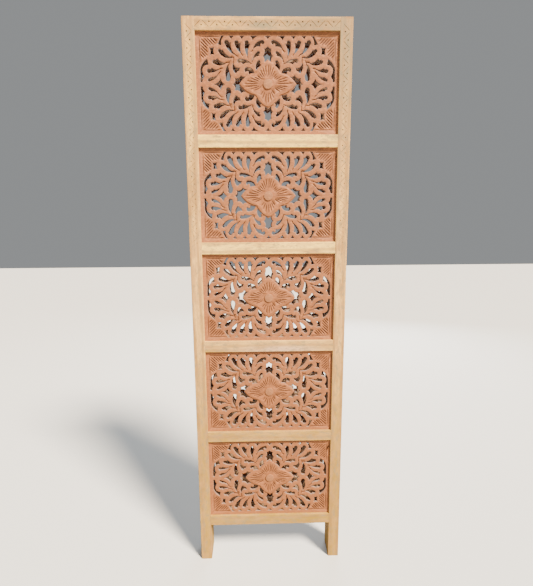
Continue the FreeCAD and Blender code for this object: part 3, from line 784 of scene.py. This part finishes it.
def round_over_windows(bm, half, rounding):
    """Rounds the rims of the windows over onto the face at y = 0, less deep in the narrow ribs between them.

    A bevel of this width crosses itself in the ribs, so the face is laid anew through rows of points."""
    rims = front_edges(bm, 0.0, half)
    nearest = tree_of([point for edge, facing in rims for point in along_edge(edge, RIM_STEP)])

    def room(point):
        return nearest.find(point)[2]

    rows = []
    for edge, facing in rims:
        for point in along_edge(edge, ROW_STEP):
            reach = 0.0
            while reach < rounding and room(point - facing * (reach + FEEL_STEP)) > reach + FEEL_SLACK:
                reach += FEEL_STEP
            shares = WIDE_ROWS if reach > WIDE_REACH else NARROW_ROWS
            rows += [point - facing * reach * share for share in shares]
    fronts = [f for f in bm.faces if f.normal.y < FRONT_FACING and abs(f.calc_center_median().y) < TOUCH]
    border = [e for e in bm.edges if sum(f in fronts for f in e.link_faces) == 1]
    bmesh.ops.delete(bm, geom=fronts, context="FACES")
    corners = list(dict.fromkeys(v for e in border for v in e.verts))
    number = {v: i for i, v in enumerate(corners)}
    inner = thinned(rows, ROW_GAP * rounding)
    flat = [Vector((v.co.x, v.co.z)) for v in corners] + [Vector((p.x, p.z)) for p in inner]
    lines = [tuple(number[v] for v in e.verts) for e in border]
    spots, _, triangles, origins, _, _ = delaunay_2d_cdt(flat, lines, [], CDT_INSIDE, CDT_NEAR)
    made = []
    for spot, origin in zip(spots, origins):
        known = [i for i in origin if i < len(corners)]
        made.append(corners[known[0]] if known else bm.verts.new((spot.x, 0.0, spot.y)))
    laid = {bm.faces.new([made[i] for i in triangle]) for triangle in triangles}
    # Wood can be reached from the board's edge without crossing a rim. The rest lies in the windows.
    fixed = set(border)
    ends = [e for e in border if max(abs(v.co.x) for v in e.verts) > half.x - MM]
    todo = [f for e in ends for f in e.link_faces if f in laid]
    wood = set(todo)
    while todo:
        beside = {f for e in todo.pop().edges if e not in fixed for f in e.link_faces} - wood
        wood |= beside
        todo += beside
    bmesh.ops.delete(bm, geom=list(laid - wood), context="FACES")
    for vertex in {v for f in wood for v in f.verts}:
        short = max(0.0, rounding - room(Vector((vertex.co.x, 0.0, vertex.co.z))))
        vertex.co.y = rounding - math.sqrt(rounding ** 2 - short ** 2)


def turn_over(bm, thickness):
    """Turns a board of a thickness about its middle, so that its other face lies at y = 0."""
    for v in bm.verts:
        v.co.y = thickness - v.co.y
    bmesh.ops.reverse_faces(bm, faces=bm.faces)
    bm.normal_update()


def carve_board(settings, materials):
    """One carved board about its own centre, its carved face at y = 0 and its back at +y."""
    node = "front_carved_insert_1"
    bm = copy_of_node(node)
    low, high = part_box(node)
    face = low.y + settings.boss_rise
    centre = Vector(((low.x + high.x) / 2, face, (low.z + high.z) / 2))
    half = (high - low) / 2
    bmesh.ops.translate(bm, verts=bm.verts, vec=-centre)
    reliefs = ((settings.petal_rise, settings.petal_round), (settings.boss_rise, settings.boss_round))
    for rise, rounding in reliefs:
        bm.normal_update()
        rims = [edge for edge, facing in front_edges(bm, -rise, half)]
        round_edges(bm, rims, rounding, segments=3)
    bm.normal_update()
    round_over_windows(bm, half, settings.window_round)
    turn_over(bm, high.y - face)
    round_over_windows(bm, half, settings.back_round)
    turn_over(bm, high.y - face)
    for f in bm.faces:
        depth = f.calc_center_median().y
        if depth < -settings.petal_rise - BOSS_STEP and f.normal.y < BOSS_LEAN:
            f.material_index = WORN_BOSS
        elif depth > 0 and WALL_LEAN[0] < f.normal.y < WALL_LEAN[1]:
            f.material_index = SAWN
        else:
            f.material_index = RAW_BACK if f.normal.y > 0 else BOARD
    board = to_object(bm, "carved_board", materials)
    first = ((petal_veins(), -settings.petal_rise, VEIN), (mirrored(CORNER_CUTS), 0.0, CORNER),
             (mirrored(TAIL_CUTS), 0.0, TAIL), (mirrored(BORDER_CUTS), 0.0, BORDER))
    # The stems cross the tails, so they are cut after them.
    second = ((mirrored(STEM_CUTS), 0.0, STEM),)
    for kinds in (first, second):
        tools = bmesh.new()
        for cuts, level, (width, share) in kinds:
            for a, b in cuts:
                add_cut(tools, Vector(a) * MM, Vector(b) * MM, level, width * MM, settings.cut_depth * share)
        cut_away(board, tools)
    bm = bmesh.new()
    bm.from_mesh(board.data)
    bmesh.ops.dissolve_degenerate(bm, edges=bm.edges, dist=TOUCH)
    for f in bm.faces:
        f.smooth = abs(f.normal.y) < SMOOTHED_FROM
    bm.to_mesh(board.data)
    bm.free()
    board.data.set_sharp_from_angle(angle=SHARP)
    return board


class SCREEN_OT_carved_inserts(bpy.types.Operator):
    """Replaces every pierced board by one with rounded windows, veined petals and gouged corners"""
    bl_idname = "screen.carved_inserts"
    bl_label = "Carved inserts"

    def execute(self, context):
        settings = context.scene.screen_inserts
        # The second material paints the shade inside the carved cuts.
        materials = [board_wood("carved_board", settings.board, settings.blush),
                     board_wood("gouged_board", settings.gouge, scaled(settings.gouge, 0.7)),
                     board_wood("sawn_board", settings.sawn, scaled(settings.sawn, 0.7)),
                     board_wood("raw_back", settings.back, scaled(settings.back, 0.8), fleck=0.4),
                     board_wood("worn_boss", settings.boss, scaled(settings.boss, 0.85))]
        master = carve_board(settings, materials)
        for leaf in LEAVES:
            for insert in INSERTS:
                node = f"{leaf}_{insert}"
                low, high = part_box(node)
                side = CARVED_SIDE[leaf]
                face = low.y + settings.boss_rise if side < 0 else high.y - settings.boss_rise
                centre = Vector(((low.x + high.x) / 2, face, (low.z + high.z) / 2))
                mesh = master.data.copy()
                mesh.name = f"carved_{node}"
                turn = Matrix.Rotation(0 if side < 0 else math.pi, 4, "Z")
                mesh.transform(Matrix.Translation(centre) @ turn)
                piece = add_to_scene(f"carved_{node}", mesh)
                dress(piece, leaf, node)
        bpy.data.objects.remove(master)
        return {"FINISHED"}


# Hinges and pegs
class SCREEN_OT_hinges_and_pegs(bpy.types.Operator):
    """Gives the hinge flaps, pins, screws and tenon pegs their finishes"""
    bl_idname = "screen.hinges_and_pegs"
    bl_label = "Hinges and pegs"

    def execute(self, context):
        settings = context.scene.screen_hinges
        finishes = {
            "flaps": metal("hinge_brass", settings.brass, rough=0.34),
            "pins": metal("pin_steel", settings.steel, rough=0.3),
            "screws": metal("screw_steel", settings.steel, rough=0.38),
            "pegs": end_grain("peg_end_grain", settings.peg),
        }
        for name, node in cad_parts.items():
            for word, material in finishes.items():
                if word in name:
                    node.data.materials.clear()
                    node.data.materials.append(material)
        return {"FINISHED"}


# Stage
def aimed_from(direction):
    """The turn of a light that shines from a direction."""
    return Vector(direction).to_track_quat("Z", "Y").to_euler()


def lay_floor(settings):
    """A pale floor that lights the screen from below less brightly than it looks."""
    bm = bmesh.new()
    bmesh.ops.create_grid(bm, x_segments=8, y_segments=8, size=FLOOR_SIZE)
    material, n, shader = principled("pale_floor")
    mottle = n.noise(n.place(), *FLOOR_MOTTLE)
    tint = n.tinge(settings.floor, mottle, 0.2, scaled(settings.floor, 0.93))
    seen = n.add("LightPath").outputs["Is Camera Ray"]
    tint = n.mix(seen, scaled(settings.floor, settings.floor_bounce), tint)
    n.feed(shader, {"Base Color": tint, "Roughness": 0.8, "Specular IOR Level": 0.2})
    to_object(bm, "studio_floor", [material])


def fill_air(scene, settings):
    """Even light from all round, with a backdrop of its own brightness."""
    world = bpy.data.worlds.new("studio_air")
    world.use_nodes = True
    n = Nodes(world.node_tree)
    seen = n.add("LightPath").outputs["Is Camera Ray"]
    fill, backdrop = settings.fill_strength, settings.backdrop_strength
    n.feed(world.node_tree.nodes["Background"],
           {"Color": AIR_COLOUR, "Strength": n.ramp(seen, backdrop - fill, fill)})
    scene.world = world


def hang_lights(settings):
    """The warm key light and a soft panel of light on each side."""
    lamp = bpy.data.lights.new("key_light", "SUN")
    lamp.energy = settings.key_strength
    lamp.angle = KEY_WIDTH
    lamp.color = settings.key_colour
    add_to_scene("key_light", lamp).rotation_euler = aimed_from(KEY_FROM)
    panels = (("front_fill", settings.front_strength, FRONT_FROM),
              ("rear_fill", settings.rear_strength, REAR_FROM))
    for name, power, place in panels:
        panel = bpy.data.lights.new(name, "AREA")
        panel.size = PANEL_SIZE
        panel.energy = power
        panel.color = settings.fill_colour
        light = add_to_scene(name, panel)
        light.location = place
        light.rotation_euler = aimed_from(Vector(place) - Vector(PANEL_AIM))
        light.visible_camera = False


def set_camera(scene):
    """The camera in front of the folded screen, a little above its middle."""
    lens = bpy.data.cameras.new("camera")
    lens.sensor_width = SENSOR_SIZE
    lens.lens = FOCAL_PIXELS * SENSOR_SIZE / PICTURE_HEIGHT
    camera = add_to_scene("camera", lens)
    camera.location = (CAMERA_LEFT, CAD_BOX[0].y - CAMERA_DISTANCE, CAMERA_HEIGHT)
    camera.rotation_euler = [math.radians(angle) for angle in CAMERA_TURN]
    scene.camera = camera


class SCREEN_OT_stage(bpy.types.Operator):
    """Sets the pale floor, the soft studio light and the camera"""
    bl_idname = "screen.stage"
    bl_label = "Stage"

    def execute(self, context):
        settings = context.scene.screen_stage
        lay_floor(settings)
        fill_air(context.scene, settings)
        hang_lights(settings)
        set_camera(context.scene)
        return {"FINISHED"}


class SCREEN_PT_panel(bpy.types.Panel):
    """Buttons for each group of pieces"""
    bl_label = "Folding screen"
    bl_space_type = "VIEW_3D"
    bl_region_type = "UI"
    bl_category = "Screen"

    def draw(self, context):
        for operator in OPERATORS:
            self.layout.operator(operator.bl_idname)
        for name in SETTINGS:
            box = self.layout.box()
            group = getattr(context.scene, name)
            for key in group.bl_rna.properties.keys():
                if key not in ("rna_type", "name"):
                    box.prop(group, key)


SETTINGS = {
    "screen_frame": FrameSettings,
    "screen_inserts": InsertSettings,
    "screen_hinges": HingeSettings,
    "screen_stage": StageSettings,
}
OPERATORS = (SCREEN_OT_stage, SCREEN_OT_frame_members, SCREEN_OT_carved_inserts, SCREEN_OT_hinges_and_pegs)


def register():
    for group in SETTINGS.values():
        bpy.utils.register_class(group)
    for name, group in SETTINGS.items():
        setattr(bpy.types.Scene, name, bpy.props.PointerProperty(type=group))
    for operator in OPERATORS:
        bpy.utils.register_class(operator)
    bpy.utils.register_class(SCREEN_PT_panel)


def unregister():
    bpy.utils.unregister_class(SCREEN_PT_panel)
    for operator in reversed(OPERATORS):
        bpy.utils.unregister_class(operator)
    for name, group in SETTINGS.items():
        delattr(bpy.types.Scene, name)
        bpy.utils.unregister_class(group)


def main():
    register()
    bpy.ops.screen.stage()
    bpy.ops.screen.frame_members()
    bpy.ops.screen.carved_inserts()
    bpy.ops.screen.hinges_and_pegs()


if __name__ == "__main__":
    main()
